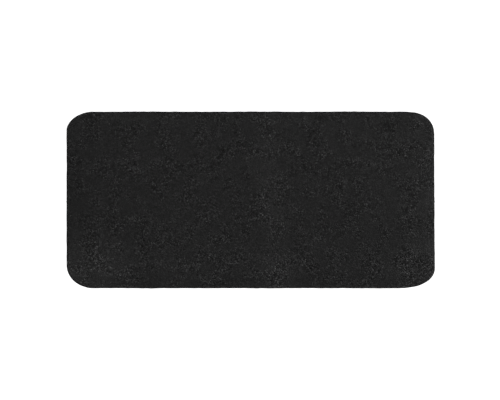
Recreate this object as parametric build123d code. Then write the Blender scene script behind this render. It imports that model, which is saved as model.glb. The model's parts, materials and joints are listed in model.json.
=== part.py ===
"""Wall punch pad: an upholstered striking pad that hangs on two pairs of interlocking wall rails.

Frame: millimetres, +X to the right, +Z up, the room is towards -Y and the wall is the plane Y = 0.
Origin: the centre of the four wall screw holes, on the wall plane.
"""

import math
import os

from build123d import *

os.makedirs("parts", exist_ok=True)

# ---- driving dimensions ------------------------------------------------------
pad_w = 380.0          # outer width of the covered pad
pad_h = 182.0          # outer height of the covered pad
corner_r = 25.0        # outline corner radius
cover_t = 1.0          # coated upholstery sheet
board_t = 18.0         # plywood backing board
eva_t = 15.0           # firm layer, next to the board
rebond_t = 25.0        # bonded chip foam core
soft_t = 9.9           # soft comfort layer behind the face
side_gap = 0.15        # play between the layers' edges and the cover
front_edge_r = 3.0     # rounding between the face and the side band
back_edge_r = 2.5      # rounding where the cover turns round the board
seam_from_face = 3.0   # the perimeter seam lies this far behind the face
flap_w = 28.0          # width of the cover margin turned in behind the board
flap_r = 6.0           # inner corner radius of that margin

rail_len = 240.0       # length of every rail
rail_t = 2.5           # wall thickness of the rail profile
rail_edge_r = 0.35     # the extrusion's long edges, inside and out
rail_corner_r = 3.0    # free corners of the flange and of the lip
rail_wall_gap = 0.3    # play between a pad rail's lip and the wall
rail_lip_gap = 0.4     # play between the two lips
flange_h = 18.0        # height of the flange that is screwed down
lip_h = 10.0           # height of the hooking lip above the flange
lip_floor = 1.0        # play under a pad rail's lip
rail_pitch = 68.0      # distance between the upper and the lower rail pair
hole_up = 8.0          # screw hole above the flange's free edge
hole_x = 100.0         # screw holes are at plus and minus this
wall_hole_r = 2.75     # clearance for a 5 mm wall screw
rail_hole_r = 2.75     # clearance for an M5 screw

m5_r = 2.5
m5_len = 16.0
m5_head_r = 4.75
m5_head_h = 2.75
nut_bore_r = 2.6
nut_barrel_r = 3.25
nut_barrel_l = 10.0
nut_flange_r = 8.5
nut_flange_t = 1.5

buffer_r = 15.0        # round rubber buffers that carry a blow into the wall
buffer_x = 142.0
buffer_dz = 42.0
buffer_hole_r = 2.25
buffer_sink_r = 6.5
buffer_sink_d = 3.4
washer_r = 6.0
washer_t = 1.0
wood_screw_r = 2.0
wood_screw_len = 16.0
wood_head_r = 4.0
wood_head_h = 2.0
pilot_r = 1.6

staple_crown = 10.6    # outside width of a staple
staple_wire_w = 1.25
staple_wire_t = 0.5
staple_leg = 8.0
staple_inset = 17.0    # staples lie this far in from the outline

vent_x = (-70.0, 0.0, 70.0)
vent_hole_r = 2.5
vent_barrel_r = 3.0
vent_flange_r = 5.0

thread_w = 0.7
thread_proud = 0.2
thread_sunk = 0.3
stitch_from_seam = 4.0
join_row_gap = 3.0

# ---- derived places ----------------------------------------------------------
lip_offset = rail_t + rail_wall_gap + rail_lip_gap      # lip's back face from the wall
standoff = round(lip_offset + rail_t + rail_wall_gap, 6)  # board's back face from the wall
y_board_back = -standoff
y_board_front = y_board_back - board_t
y_eva = y_board_front - eva_t
y_rebond = y_eva - rebond_t
y_soft = y_rebond - soft_t
y_face = y_board_front - 50.0 - cover_t                 # outer face of the cover
y_flap = y_board_back + cover_t                         # rear face of the turned-in margin
y_seam = y_face + seam_from_face
pair_h = 2 * flange_h + lip_h
z_lower = -rail_pitch / 2 - hole_up                     # free edge of the lower wall rail
z_upper = z_lower + rail_pitch
cz = (z_lower + z_upper + pair_h) / 2                   # centre height of the pad
print("standoff", standoff, "face at", y_face, "pad centre height", cz)


def slab(w, h, r, y0, y1):
    """A rounded rectangle from y0 out to y1, centred on the pad."""
    face = Plane(origin=(0, y0, cz), x_dir=(1, 0, 0), z_dir=(0, -1, 0)) * RectangleRounded(w, h, r)
    return extrude(face, amount=y0 - y1)


def rim(part, y):
    """The edges of a slab that lie in the plane at y."""
    return [e for e in part.edges() if abs(e.bounding_box().min.Y - y) < 1e-4 and abs(e.bounding_box().max.Y - y) < 1e-4]


def rod(r, x, z, y0, y1):
    """A cylinder along Y from y0 to y1."""
    return Pos(x, (y0 + y1) / 2, z) * Rot(90, 0, 0) * Cylinder(r, abs(y1 - y0))


def group(shapes):
    return Compound(children=list(shapes))


def save(shape, name):
    export_step(shape, f"parts/{name}.step")


# ---- rails -------------------------------------------------------------------
def rail_profile():
    """Section of a wall rail in Y and Z, flange at the wall, free edge at Z = 0, lip upwards."""
    t, g = rail_t, lip_offset
    pts = [
        (0, 0), (0, flange_h), (-g, flange_h), (-g, flange_h + lip_h - 1.2), (-g - 0.8, flange_h + lip_h),
        (-g - t, flange_h + lip_h), (-g - t, flange_h - t), (-t, flange_h - t), (-t, 0),
    ]
    face = make_face(Plane.YZ * Polyline(*pts, close=True))
    return fillet(face.vertices(), rail_edge_r)


def rail():
    return extrude(rail_profile(), amount=rail_len / 2, both=True)


def rail_outline(z0, z1):
    """A rail's front view, with the free corners of the flange and of the lip rounded off."""
    face = Plane(origin=(0, 1, (z0 + z1) / 2), x_dir=(1, 0, 0), z_dir=(0, -1, 0)) * RectangleRounded(rail_len, z1 - z0, rail_corner_r)
    return extrude(face, amount=standoff + 2)


def wall_rail(z0):
    body = Pos(0, 0, z0) * rail()
    for sx in (-1, 1):
        body -= rod(wall_hole_r, sx * hole_x, z0 + hole_up, 1, -rail_t - 1)
    return body & rail_outline(z0, z0 + flange_h + lip_h)


def pad_rail(z0):
    """The same section turned over, so its lip hangs down behind the wall rail's lip."""
    t = rail_t
    body = Rot(180, 0, 0) * rail()
    body = Pos(0, -standoff, z0 + pair_h) * body
    # its lip is shortened so the web, not the lip, carries the pad
    body -= Pos(0, -standoff / 2, z0 + flange_h + lip_floor / 2) * Box(rail_len + 2, standoff + 2, lip_floor)
    for sx in (-1, 1):
        body -= rod(rail_hole_r, sx * hole_x, z0 + pair_h - hole_up, -standoff - 1, -standoff + t + 1)
    return body & rail_outline(z0 + flange_h + lip_floor, z0 + pair_h)


save(wall_rail(z_upper), "wall_rail_upper")
save(wall_rail(z_lower), "wall_rail_lower")
save(pad_rail(z_upper), "pad_rail_upper")
save(pad_rail(z_lower), "pad_rail_lower")

# ---- board and foam ----------------------------------------------------------
in_w, in_h, in_r = pad_w - 2 * cover_t, pad_h - 2 * cover_t, corner_r - cover_t
core_w, core_h, core_r = in_w - 2 * side_gap, in_h - 2 * side_gap, in_r - side_gap

nut_places = [(sx * hole_x, z0 + pair_h - hole_up) for z0 in (z_lower, z_upper) for sx in (-1, 1)]
buffer_places = {
    "buffer_upper_left": (-buffer_x, cz + buffer_dz),
    "buffer_upper_right": (buffer_x, cz + buffer_dz),
    "buffer_lower_left": (-buffer_x, cz - buffer_dz),
    "buffer_lower_right": (buffer_x, cz - buffer_dz),
}

board = slab(core_w, core_h, core_r, y_board_back, y_board_front)
board = fillet(rim(board, y_board_back), back_edge_r - cover_t + 0.3)
board = fillet(rim(board, y_board_front), 1.0)
for x, z in nut_places:
    board -= rod(nut_barrel_r, x, z, y_board_back + 1, y_board_front - 1)
    board -= rod(nut_flange_r + 0.1, x, z, y_board_front + nut_flange_t, y_board_front - 1)
for x, z in buffer_places.values():
    board -= rod(pilot_r, x, z, y_board_back + 1, y_board_back - 13.5)
save(board, "back_board")

save(slab(core_w, core_h, core_r, y_board_front, y_eva), "foam_base_firm")
save(slab(core_w, core_h, core_r, y_eva, y_rebond), "foam_core_rebond")
soft = slab(core_w, core_h, core_r, y_rebond, y_soft)
soft = fillet(rim(soft, y_soft), front_edge_r - cover_t + 0.2)
save(soft, "foam_face_soft")

# ---- cover: face panel, two side bands, margins turned in behind the board ---
outer = slab(pad_w, pad_h, corner_r, y_flap, y_face)
outer = fillet(rim(outer, y_face), front_edge_r)
outer = fillet(rim(outer, y_flap), back_edge_r)
inner = slab(in_w, in_h, in_r, y_board_back, y_face + cover_t)
inner = fillet(rim(inner, y_face + cover_t), front_edge_r - cover_t)
inner = fillet(rim(inner, y_board_back), back_edge_r - cover_t)
opening = slab(pad_w - 2 * flap_w, pad_h - 2 * flap_w, flap_r, y_flap + 2, y_board_back - 2)
skin = outer - inner - opening

big = 600.0
front_half = Pos(0, y_seam - big / 2, cz) * Box(big, big, big)
save(skin & front_half, "cover_face_panel")
band = skin - front_half

# ring of thread just behind the perimeter seam, sunk a little into the band
y_stitch = y_seam + stitch_from_seam
ring = slab(pad_w + 2 * thread_proud, pad_h + 2 * thread_proud, corner_r + thread_proud, y_stitch + thread_w / 2, y_stitch - thread_w / 2)
ring -= slab(pad_w - 2 * thread_sunk, pad_h - 2 * thread_sunk, corner_r - thread_sunk, y_stitch + thread_w, y_stitch - thread_w)
save(ring, "perimeter_seam_thread")
band -= ring

# two rows of thread beside each upright join of the side bands
join_y0, join_y1 = y_flap - 4.0, y_stitch + 2.5
joins = {}
for side, sx in (("left", -1), ("right", 1)):
    rows = []
    for dz in (-join_row_gap, join_row_gap):
        x_in, x_out = pad_w / 2 - thread_sunk, pad_w / 2 + thread_proud
        rows.append(Pos(sx * (x_in + x_out) / 2, (join_y0 + join_y1) / 2, cz + dz) * Box(x_out - x_in, join_y0 - join_y1, thread_w))
    joins[side] = rows
    for r in rows:
        band -= r
    save(group(rows), f"join_seam_thread_{side}")

z_bottom = cz - pad_h / 2
y_vent = (y_board_front + y_face) / 2
for x in vent_x:
    band -= Pos(x, y_vent, z_bottom) * Cylinder(vent_barrel_r + 0.05, 6)

upper_half = Pos(0, 0, cz + big / 2) * Box(big, big, big)
save(band & upper_half, "side_band_upper")
save(band - upper_half, "side_band_lower")

# ---- vents in the lower band: each an eyelet and the washer it is set on -----
def eyelet(x):
    a, b, f = vent_hole_r, vent_barrel_r, vent_flange_r
    pts = [(a, 1.7), (b, 1.7), (b, 0), (f, 0), (f, -0.3), (f - 0.7, -0.85), (a + 0.6, -0.85), (a, -0.4)]
    section = make_face(Plane.XZ * Polyline(*pts, close=True))
    return Pos(x, y_vent, z_bottom) * revolve(section, Axis.Z)


def vent_washer(x):
    return Pos(x, y_vent, z_bottom + cover_t + 0.2) * (Cylinder(vent_flange_r, 0.4) - Cylinder(vent_barrel_r + 0.05, 2))


save(group([eyelet(x) for x in vent_x]), "vent_eyelets")
save(group([vent_washer(x) for x in vent_x]), "vent_washers")

# ---- rail screws and tee nuts ------------------------------------------------
def rail_screw(x, z):
    y0 = y_board_back + rail_t
    head = revolve(make_face(Plane.YZ * Polyline(
        (0, 0), (0, m5_head_r), (0.7, m5_head_r), (1.7, m5_head_r * 0.83), (2.4, m5_head_r * 0.6), (m5_head_h, m5_head_r * 0.42), (m5_head_h, 0), close=True)), Axis.Y)
    head -= extrude(Plane(origin=(0, m5_head_h + 0.01, 0), x_dir=(1, 0, 0), z_dir=(0, -1, 0)) * RegularPolygon(1.73, 6), amount=1.6)
    shank = Pos(0, -m5_len / 2, 0) * Rot(90, 0, 0) * Cylinder(m5_r, m5_len)
    shank = chamfer(shank.edges().sort_by(Axis.Y)[0], 0.6)
    return Pos(x, y0, z) * (head + shank)


def tee_nut(x, z):
    y1 = y_board_front
    body = rod(nut_flange_r, 0, 0, y1 + nut_flange_t, y1) + rod(nut_barrel_r - 0.02, 0, 0, y1 + nut_barrel_l, y1)
    body -= rod(nut_bore_r, 0, 0, y1 + nut_barrel_l + 1, y1 - 1)
    for k in range(4):
        prong = extrude(Plane.XY * make_face(Polyline((-1.3, 0), (1.3, 0), (0.1, 6.0), (-0.1, 6.0), close=True)), amount=0.45, both=True)
        body += Rot(0, 90 * k + 45, 0) * (Pos(0, y1 + nut_flange_t - 0.2, nut_flange_r - 0.9) * prong)
    return Pos(x, 0, z) * body


save(group([rail_screw(x, z) for x, z in nut_places]), "rail_screws")
save(group([tee_nut(x, z) for x, z in nut_places]), "rail_tee_nuts")

# ---- rubber buffers with their washers and screws ----------------------------
def buffer(x, z):
    body = rod(buffer_r, 0, 0, 0, y_board_back)
    body = chamfer(body.edges().sort_by(Axis.Y)[-1], 1.2)
    body -= rod(buffer_sink_r, 0, 0, 1, -buffer_sink_d)
    body -= rod(buffer_hole_r, 0, 0, 1, y_board_back - 1)
    return Pos(x, 0, z) * body


def buffer_washer(x, z):
    return rod(washer_r, x, z, -buffer_sink_d, -buffer_sink_d + washer_t) - rod(buffer_hole_r, x, z, 1, -10)


def wood_screw(x, z):
    y0 = -buffer_sink_d + washer_t
    tip = 3.0
    prof = [(wood_head_h, 0), (wood_head_h, wood_head_r * 0.55), (wood_head_h * 0.75, wood_head_r * 0.85), (0.5, wood_head_r), (0, wood_head_r),
            (0, wood_screw_r), (-wood_screw_len + tip, wood_screw_r), (-wood_screw_len, 0)]
    body = revolve(make_face(Plane.YZ * Polyline(*prof, close=True)), Axis.Y)
    slot = Box(4.2, 1.3, 1.0) + Box(1.0, 1.3, 4.2)
    body -= Pos(0, wood_head_h - 0.5, 0) * slot
    return Pos(x, y0, z) * body


for name, (x, z) in buffer_places.items():
    save(buffer(x, z), name)
save(group([buffer_washer(x, z) for x, z in buffer_places.values()]), "buffer_washers")
save(group([wood_screw(x, z) for x, z in buffer_places.values()]), "buffer_screws")

# ---- staples along the margins -----------------------------------------------
def staple(x, z, turn):
    """Turn is the crown's direction in degrees from +X, in the plane of the board."""
    y = y_flap
    crown = Pos(0, y + staple_wire_t / 2, 0) * Box(staple_crown, staple_wire_t, staple_wire_w)
    legs = [Pos(s * (staple_crown - staple_wire_t) / 2, y + staple_wire_t - staple_leg / 2, 0) * Box(staple_wire_t, staple_leg, staple_wire_w) for s in (-1, 1)]
    return Pos(x, 0, z) * Rot(0, -turn, 0) * (crown + legs[0] + legs[1])


staples = []
half_w, half_h = pad_w / 2 - staple_inset, pad_h / 2 - staple_inset
n_long, n_short = 10, 4
for k in range(n_long):
    x = -(half_w - 26) + k * 2 * (half_w - 26) / (n_long - 1)
    tilt = 3.0 * math.sin(2.1 * k + 0.7)
    staples.append(staple(x, cz + half_h, tilt))
    staples.append(staple(x + 1.5 * math.sin(k * 1.7), cz - half_h, -tilt))
for k in range(n_short):
    z = cz - (half_h - 24) + k * 2 * (half_h - 24) / (n_short - 1)
    tilt = 3.0 * math.sin(1.9 * k + 0.2)
    staples.append(staple(half_w, z, 90 + tilt))
    staples.append(staple(-half_w, z, 90 - tilt))
for sx in (-1, 1):
    for sz in (-1, 1):
        for along in (12.0, 78.0):
            a = math.radians(along)
            staples.append(staple(sx * (half_w - 16 + 12 * math.cos(a)), cz + sz * (half_h - 16 + 12 * math.sin(a)), sx * sz * (90 + along)))
save(group(staples), "cover_staples")
print("staples", len(staples))
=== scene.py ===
import json
import math

import bpy
import numpy as np
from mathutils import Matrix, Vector, kdtree


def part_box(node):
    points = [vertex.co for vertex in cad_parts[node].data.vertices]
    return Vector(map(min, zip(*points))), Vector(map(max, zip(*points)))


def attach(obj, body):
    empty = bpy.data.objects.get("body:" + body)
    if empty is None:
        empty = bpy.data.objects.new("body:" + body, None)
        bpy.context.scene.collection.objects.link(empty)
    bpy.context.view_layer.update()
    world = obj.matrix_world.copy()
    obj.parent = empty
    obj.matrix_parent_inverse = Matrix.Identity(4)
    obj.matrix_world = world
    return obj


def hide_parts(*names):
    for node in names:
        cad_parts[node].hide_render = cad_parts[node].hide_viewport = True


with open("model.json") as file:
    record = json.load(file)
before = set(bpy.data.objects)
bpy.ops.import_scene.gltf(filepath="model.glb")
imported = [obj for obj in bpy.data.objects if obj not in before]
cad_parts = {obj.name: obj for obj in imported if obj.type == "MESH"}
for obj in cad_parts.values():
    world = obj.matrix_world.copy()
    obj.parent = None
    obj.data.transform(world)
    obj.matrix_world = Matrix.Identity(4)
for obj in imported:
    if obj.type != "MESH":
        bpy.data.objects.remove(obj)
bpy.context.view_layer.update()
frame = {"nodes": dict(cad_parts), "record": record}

MM = 0.001


# ==============================================================================
# Measures, in millimetres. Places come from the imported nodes.
# ==============================================================================
def span(node):
    lo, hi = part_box(node)
    return np.array(lo) / MM, np.array(hi) / MM


panel_lo, panel_hi = span("cover_face_panel")
band_lo, band_hi = span("side_band_upper")
board_lo, board_hi = span("back_board")
W, H = (panel_hi[0] - panel_lo[0]) / 2, (panel_hi[2] - panel_lo[2]) / 2
CZ = (panel_hi[2] + panel_lo[2]) / 2
Y_FACE, Y_SEAM, Y_REAR = panel_lo[1], panel_hi[1], band_hi[1]
Y_BOARD = board_lo[1]
thread_lo, thread_hi = span("perimeter_seam_thread")
Y_STITCH = (thread_lo[1] + thread_hi[1]) / 2
join_lo, join_hi = span("join_seam_thread_right")
JOIN_ROW = (join_hi[2] - join_lo[2]) / 2 - 0.35
JOIN_Y0, JOIN_Y1 = join_hi[1], join_lo[1]

COVER = 1.0            # thickness of the coated upholstery
FRONT_R, BACK_R = 3.0, 2.5
FLAP = 28.0            # width of the margin turned in behind the board
FLAP_R = 6.0
STITCH = 4.6           # pitch of the topstitching
THREAD_R = 0.31
NOMINAL_R = 25.0
# How far each corner of the stuffed cover sets back along X and along Z, and how square it is (2 is an ellipse).
CORNERS = {"tr": (31.4, 24.5, 2.40), "tl": (25.5, 18.3, 1.72), "bl": (29.6, 24.3, 2.07), "br": (35.5, 20.9, 2.13)}
ROUND = {k: (NOMINAL_R, NOMINAL_R, 2.0) for k in CORNERS}
FINE = [0, 0.35, 0.7, 1.1, 1.6, 2.3, JOIN_ROW, 3.7, 4.6, 5.7, 6.9]   # closer columns beside the band joins
QUARTER = math.pi / 4


# ==============================================================================
# The outline, as fourteen runs. It starts in the middle of the top right corner
# and goes over the top to the left, as seen from the front.
# ==============================================================================
def corner_run(sx, sz, w, h, spec, f0, f1):
    a, b, p = spec
    f = np.linspace(f0, f1, 80)
    u = a * (1 - np.abs(np.sin(f)) ** (2 / p))
    v = b * (1 - np.abs(np.cos(f)) ** (2 / p))
    return np.stack([sx * (w - u), sz * (h - v)], 1)


def outline_runs(w, h, corners):
    tr, tl, bl, br = (corners[k] for k in ("tr", "tl", "bl", "br"))
    q = QUARTER

    def line(x0, z0, x1, z1):
        return np.array([(x0, z0), (x1, z1)], float)

    return [
        corner_run(1, 1, w, h, tr, q, 0), line(w - tr[0], h, -(w - tl[0]), h), corner_run(-1, 1, w, h, tl, 0, q),
        corner_run(-1, 1, w, h, tl, q, 2 * q), line(-w, h - tl[1], -w, 0),
        line(-w, 0, -w, -(h - bl[1])), corner_run(-1, -1, w, h, bl, 2 * q, q),
        corner_run(-1, -1, w, h, bl, q, 0), line(-(w - bl[0]), -h, w - br[0], -h), corner_run(1, -1, w, h, br, 0, q),
        corner_run(1, -1, w, h, br, q, 2 * q), line(w, -(h - br[1]), w, 0),
        line(w, 0, w, h - tr[1]), corner_run(1, 1, w, h, tr, 2 * q, q),
    ]


STRETCHES = ((0, 1, 2), (3, 4), (5, 6), (7, 8, 9), (10, 11), (12, 13))


def lengths(run):
    return np.concatenate([[0], np.cumsum(np.linalg.norm(np.diff(run, axis=0), axis=1))])


class Columns:
    """Where the columns of the cover's grid stand round the outline: a run and a share of it for each, so that any
    other outline with the same runs can be sampled at the same columns."""

    def __init__(self, across, up, fine):
        base = outline_runs(W, H, CORNERS)
        seg, share, s, begin = [], [], [], 0.0
        self.counts = []
        for k, runs in enumerate(STRETCHES):
            ls = [lengths(base[r])[-1] for r in runs]
            total, n = sum(ls), (across if k in (0, 3) else up)
            self.counts.append(n)
            if k in (0, 3) or not fine:
                at = np.linspace(0, total, n + 1)
            else:
                at = np.concatenate([FINE, np.linspace(FINE[-1], total, n - len(FINE) + 2)[1:]])
                if k in (1, 4):        # these two end at a join, the other two start at one
                    at = total - at[::-1]
            for a in at[:-1]:
                i, rest = 0, a
                while i < len(runs) - 1 and rest > ls[i]:
                    rest -= ls[i]
                    i += 1
                seg.append(runs[i])
                share.append(rest / ls[i])
                s.append(begin + a)
            begin += total
        self.seg, self.share, self.s = np.array(seg), np.array(share), np.array(s)
        self.around = begin
        self.n = len(self.s)
        c = self.counts
        self.left_join = c[0] + c[1]
        self.right_join = sum(c[:5])
        self.across, self.up = across, 2 * up

    def sample(self, runs):
        out = np.zeros((self.n, 2))
        for r, run in enumerate(runs):
            on = self.seg == r
            if on.any():
                l = lengths(run)
                t = self.share[on] * l[-1]
                out[on, 0] = np.interp(t, l, run[:, 0])
                out[on, 1] = np.interp(t, l, run[:, 1])
        return out


def outline_normals(p):
    t = np.roll(p, -1, 0) - np.roll(p, 1, 0)
    t = t + 0.5 * (np.roll(t, 1, 0) + np.roll(t, -1, 0))
    n = np.stack([t[:, 1], -t[:, 0]], 1)
    return n / np.linalg.norm(n, axis=1)[:, None]


def wave(s, around, length, terms, seed):
    """A smooth random wave round the outline, about one high."""
    r = np.random.default_rng(seed)
    k = np.maximum(1, np.round(around / length * np.exp(r.normal(0, 0.28, terms))))
    ph = r.uniform(0, 2 * math.pi, terms)
    return sum(np.sin(2 * math.pi * a * s / around + b) for a, b in zip(k, ph)) * math.sqrt(2 / terms)


def field(p, length, terms, seed):
    """Smooth random noise in space, about one high, with features of that length."""
    r = np.random.default_rng(seed)
    d = r.normal(size=(terms, 3))
    d /= np.linalg.norm(d, axis=1)[:, None]
    k = 2 * math.pi / (length * np.exp(r.normal(0, 0.25, terms)))
    ph = r.uniform(0, 2 * math.pi, terms)
    flat = p.reshape(-1, 3)
    out = np.zeros(len(flat))
    for i in range(terms):
        out += np.cos(flat @ (d[i] * k[i]) + ph[i])
    return (out * math.sqrt(2 / terms)).reshape(p.shape[:-1])


def smooth(x, a, b):
    t = np.clip((x - a) / (b - a), 0, 1)
    return t * t * (3 - 2 * t)


class Skin:
    """The cover's nominal surface for a set of columns."""

    def __init__(self, columns):
        self.c = columns
        s, P = columns.s, columns.around
        front = columns.sample(outline_runs(W, H, CORNERS))
        back = columns.sample(outline_runs(W, H, ROUND))
        front[:, 0] += np.where(front[:, 0] > 0, -0.34 * front[:, 1] / H, 0)      # the right edge leans a little
        front[:, 1] *= (H + 0.23) / H                                             # and stuffing lifts the long edges
        n = outline_normals(front)
        front += n * (0.07 * wave(s, P, 90, 7, 11) + 0.04 * wave(s, P, 26, 7, 12))[:, None]
        self.front, self.back = front, back
        self.opening = columns.sample(outline_runs(W - FLAP, H - FLAP, {k: (FLAP_R, FLAP_R, 2.0) for k in CORNERS}))
        ragged = 0.45 * wave(s, P, 60, 6, 13) + 0.22 * wave(s, P, 12, 8, 14)
        self.opening = self.opening + outline_normals(self.opening) * ragged[:, None]

    def shape(self, y):
        """Outline and its outward normals at depth y: the stuffed shape at the face, the board's shape at the back."""
        w = float(smooth(np.array(y), Y_SEAM + 8, Y_BOARD - 4))
        p = (1 - w) * self.front + w * self.back
        return p, outline_normals(p)

    def ring(self, inset, y):
        p, n = self.shape(y)
        q = p - n * inset
        return np.stack([q[:, 0], np.full(len(q), float(y)), q[:, 1] + CZ], 1), np.stack([n[:, 0], np.zeros(len(n)), n[:, 1]], 1)

    def patch(self, inset, y):
        """A grid that fills the ring at that inset, row by row from the bottom, each from left to right."""
        c, r = self.c, self.ring(inset, y)[0]
        n0, up = c.across, c.up
        top = r[0:n0 + 1][::-1]
        left = r[n0:n0 + up + 1][::-1]
        bottom = r[n0 + up:2 * n0 + up + 1]
        right = np.concatenate([r[2 * n0 + up:], r[:1]])
        u = np.linspace(0, 1, n0 + 1)[None, :, None]
        v = (lengths(left) / lengths(left)[-1] + lengths(right) / lengths(right)[-1])[:, None, None] / 2
        grid = (1 - v) * bottom[None] + v * top[None] + (1 - u) * left[:, None] + u * right[:, None]
        grid -= (1 - u) * (1 - v) * bottom[0] + u * (1 - v) * bottom[-1] + (1 - u) * v * top[0] + u * v * top[-1]
        return grid

    def border(self):
        """The patch's border points, as (row, column), in the columns' own order."""
        c = self.c
        out = [(c.up, c.across - i) for i in range(c.across)]
        out += [(c.up - i, 0) for i in range(c.up)]
        out += [(0, i) for i in range(c.across)]
        out += [(i, c.across) for i in range(c.up)]
        return out


# ==============================================================================
# Mesh helpers
# ==============================================================================
def grid_quads(rows, cols, first=0, wrap=False):
    i = np.arange(rows - 1)[:, None]
    j = np.arange(cols if wrap else cols - 1)[None, :]
    k = (j + 1) % cols
    q = np.stack(np.broadcast_arrays(i * cols + j, i * cols + k, (i + 1) * cols + k, (i + 1) * cols + j), -1)
    return q.reshape(-1, 4) + first


def volume(v, q):
    a, b, c, d = (v[q[:, i]] for i in range(4))
    return float((np.einsum("ij,ij->i", a, np.cross(b, c)) + np.einsum("ij,ij->i", a, np.cross(c, d))).sum() / 6)


def compact(v, q, extra):
    used = np.unique(q)
    to = np.full(len(v), -1)
    to[used] = np.arange(len(used))
    return v[used], to[q], [e[used] for e in extra]


def shell(v, q, inward, thick):
    """A closed thin shell: the outer sheet, the same sheet set in by its thickness, and the walls along every free edge."""
    n = len(v)
    inner = v + inward * thick[:, None]
    e = np.concatenate([q[:, [0, 1]], q[:, [1, 2]], q[:, [2, 3]], q[:, [3, 0]]])
    key = e.min(1) * n + e.max(1)
    _, at, uses = np.unique(key, return_index=True, return_counts=True)
    free = e[at[uses == 1]]
    walls = np.stack([free[:, 1], free[:, 0], free[:, 0] + n, free[:, 1] + n], 1)
    vv, qq = np.concatenate([v, inner]), np.concatenate([q, q[:, ::-1] + n, walls])
    if volume(vv, qq) < 0:
        qq = qq[:, ::-1]
    return vv, qq


def make(name, v, q, attributes=None, smooth_shade=True):
    """An object from points in millimetres and faces with four corners each."""
    me = bpy.data.meshes.new(name)
    me.vertices.add(len(v))
    me.vertices.foreach_set("co", (np.asarray(v, float) * MM).astype(np.float32).ravel())
    me.loops.add(q.size)
    me.loops.foreach_set("vertex_index", np.ascontiguousarray(q, dtype=np.int32).ravel())
    me.polygons.add(len(q))
    me.polygons.foreach_set("loop_start", (np.arange(len(q)) * 4).astype(np.int32))
    me.update(calc_edges=True)
    me.polygons.foreach_set("use_smooth", np.full(len(q), smooth_shade))
    for key, value in (attributes or {}).items():
        kind = "FLOAT_VECTOR" if value.ndim == 2 else "FLOAT"
        a = me.attributes.new(key, kind, "POINT")
        a.data.foreach_set("vector" if value.ndim == 2 else "value", value.astype(np.float32).ravel())
    me.validate()
    ob = bpy.data.objects.new(name, me)
    bpy.context.scene.collection.objects.link(ob)
    return ob


# ==============================================================================
# The cover's bulge, by cloth simulation on a coarse copy of the whole skin
# ==============================================================================
BAND_ROWS = [Y_STITCH] + list(np.linspace(Y_STITCH + 4.2, Y_REAR - BACK_R - 2.5, 13))


def simulated_bulge():
    """Blows the coarse skin out against its seams. Gives its rest points and how far each one moved."""
    cols = Columns(76, 18, fine=False)
    skin = Skin(cols)
    patch = skin.patch(FRONT_R, Y_FACE)
    pts = [patch.reshape(-1, 3)]
    ids = np.arange(patch.shape[0] * patch.shape[1]).reshape(patch.shape[:2])
    before = np.array([ids[r, c] for r, c in skin.border()])
    quads = [grid_quads(*patch.shape[:2])]
    count, pins = ids.size, []
    profile = [(FRONT_R * (1 - math.sin(QUARTER)), Y_FACE + FRONT_R * (1 - math.cos(QUARTER))), (0, Y_SEAM)]
    profile += [(0, y) for y in BAND_ROWS] + [(0.0, Y_REAR - BACK_R), (0.75, Y_REAR - 0.7)]
    held = {1, 2, len(profile) - 2, len(profile) - 1}
    for k, (inset, y) in enumerate(profile):
        ring = skin.ring(inset, y)[0]
        now = count + np.arange(len(ring))
        nxt_b, nxt_n = np.roll(before, -1), np.roll(now, -1)
        quads.append(np.stack([before, nxt_b, nxt_n, now], 1))
        if k in held:
            pins += list(now)
        pts.append(ring)
        before, count = now, count + len(ring)
    v, q = np.concatenate(pts), np.concatenate(quads)
    # the face's own quads run the other way round from the rings'
    q[:quads[0].shape[0]] = q[:quads[0].shape[0], ::-1]
    normal_y = np.cross(v[q[0, 1]] - v[q[0, 0]], v[q[0, 3]] - v[q[0, 0]])[1]
    if normal_y > 0:
        q = q[:, ::-1]
    ring_q = q[len(quads[0]) + 5]
    out = np.cross(v[ring_q[1]] - v[ring_q[0]], v[ring_q[3]] - v[ring_q[0]])
    if out @ (v[ring_q[0]] - np.array([0, v[ring_q[0]][1], CZ])) < 0:
        q[len(quads[0]):] = q[len(quads[0]):, ::-1]
    ob = make("bulge_copy", v, q)
    pin = ob.vertex_groups.new(name="pin")
    pin.add([int(i) for i in pins], 1.0, "REPLACE")
    slack = ob.vertex_groups.new(name="slack")
    # the band is cut a little full at the corners, so it ripples there
    corner = np.minimum(np.abs(np.abs(v[:, 0]) - (W - 10)) / 40, 1) + np.minimum(np.abs(np.abs(v[:, 2] - CZ) - (H - 10)) / 40, 1)
    full = np.where(v[:, 1] > Y_SEAM + 1, np.clip(1.25 - corner, 0, 1), 0)
    for i in np.nonzero(full > 0.02)[0]:
        slack.add([int(i)], float(full[i]), "REPLACE")
    cloth = ob.modifiers.new("cloth", "CLOTH")
    st = cloth.settings
    st.quality = 6
    st.mass = 0.35
    st.air_damping = 3.0
    st.tension_stiffness = 18
    st.compression_stiffness = 18
    st.shear_stiffness = 10
    st.bending_stiffness = 2.5
    st.tension_damping = 10
    st.compression_damping = 10
    st.vertex_group_mass = "pin"
    st.shrink_min = 0.0
    st.shrink_max = -0.02
    st.vertex_group_shrink = "slack"
    st.use_pressure = True
    st.uniform_pressure_force = 4.0
    st.effector_weights.gravity = 0.0
    cloth.collision_settings.use_collision = False
    cloth.collision_settings.use_self_collision = False
    cloth.point_cache.frame_start, cloth.point_cache.frame_end = 1, 24
    scene = bpy.context.scene
    for f in range(1, 25):
        scene.frame_set(f)
    ev = ob.evaluated_get(bpy.context.evaluated_depsgraph_get())
    moved = np.zeros(len(v) * 3, np.float32)
    ev.data.vertices.foreach_get("co", moved)
    moved = moved.reshape(-1, 3) / MM - v
    scene.frame_set(1)
    me = ob.data
    bpy.data.objects.remove(ob)
    bpy.data.meshes.remove(me)
    return v, moved


def cap(moved, most):
    size = np.linalg.norm(moved, axis=1)
    return moved * (most * np.tanh(size / most) / np.maximum(size, 1e-9))[:, None]


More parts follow.
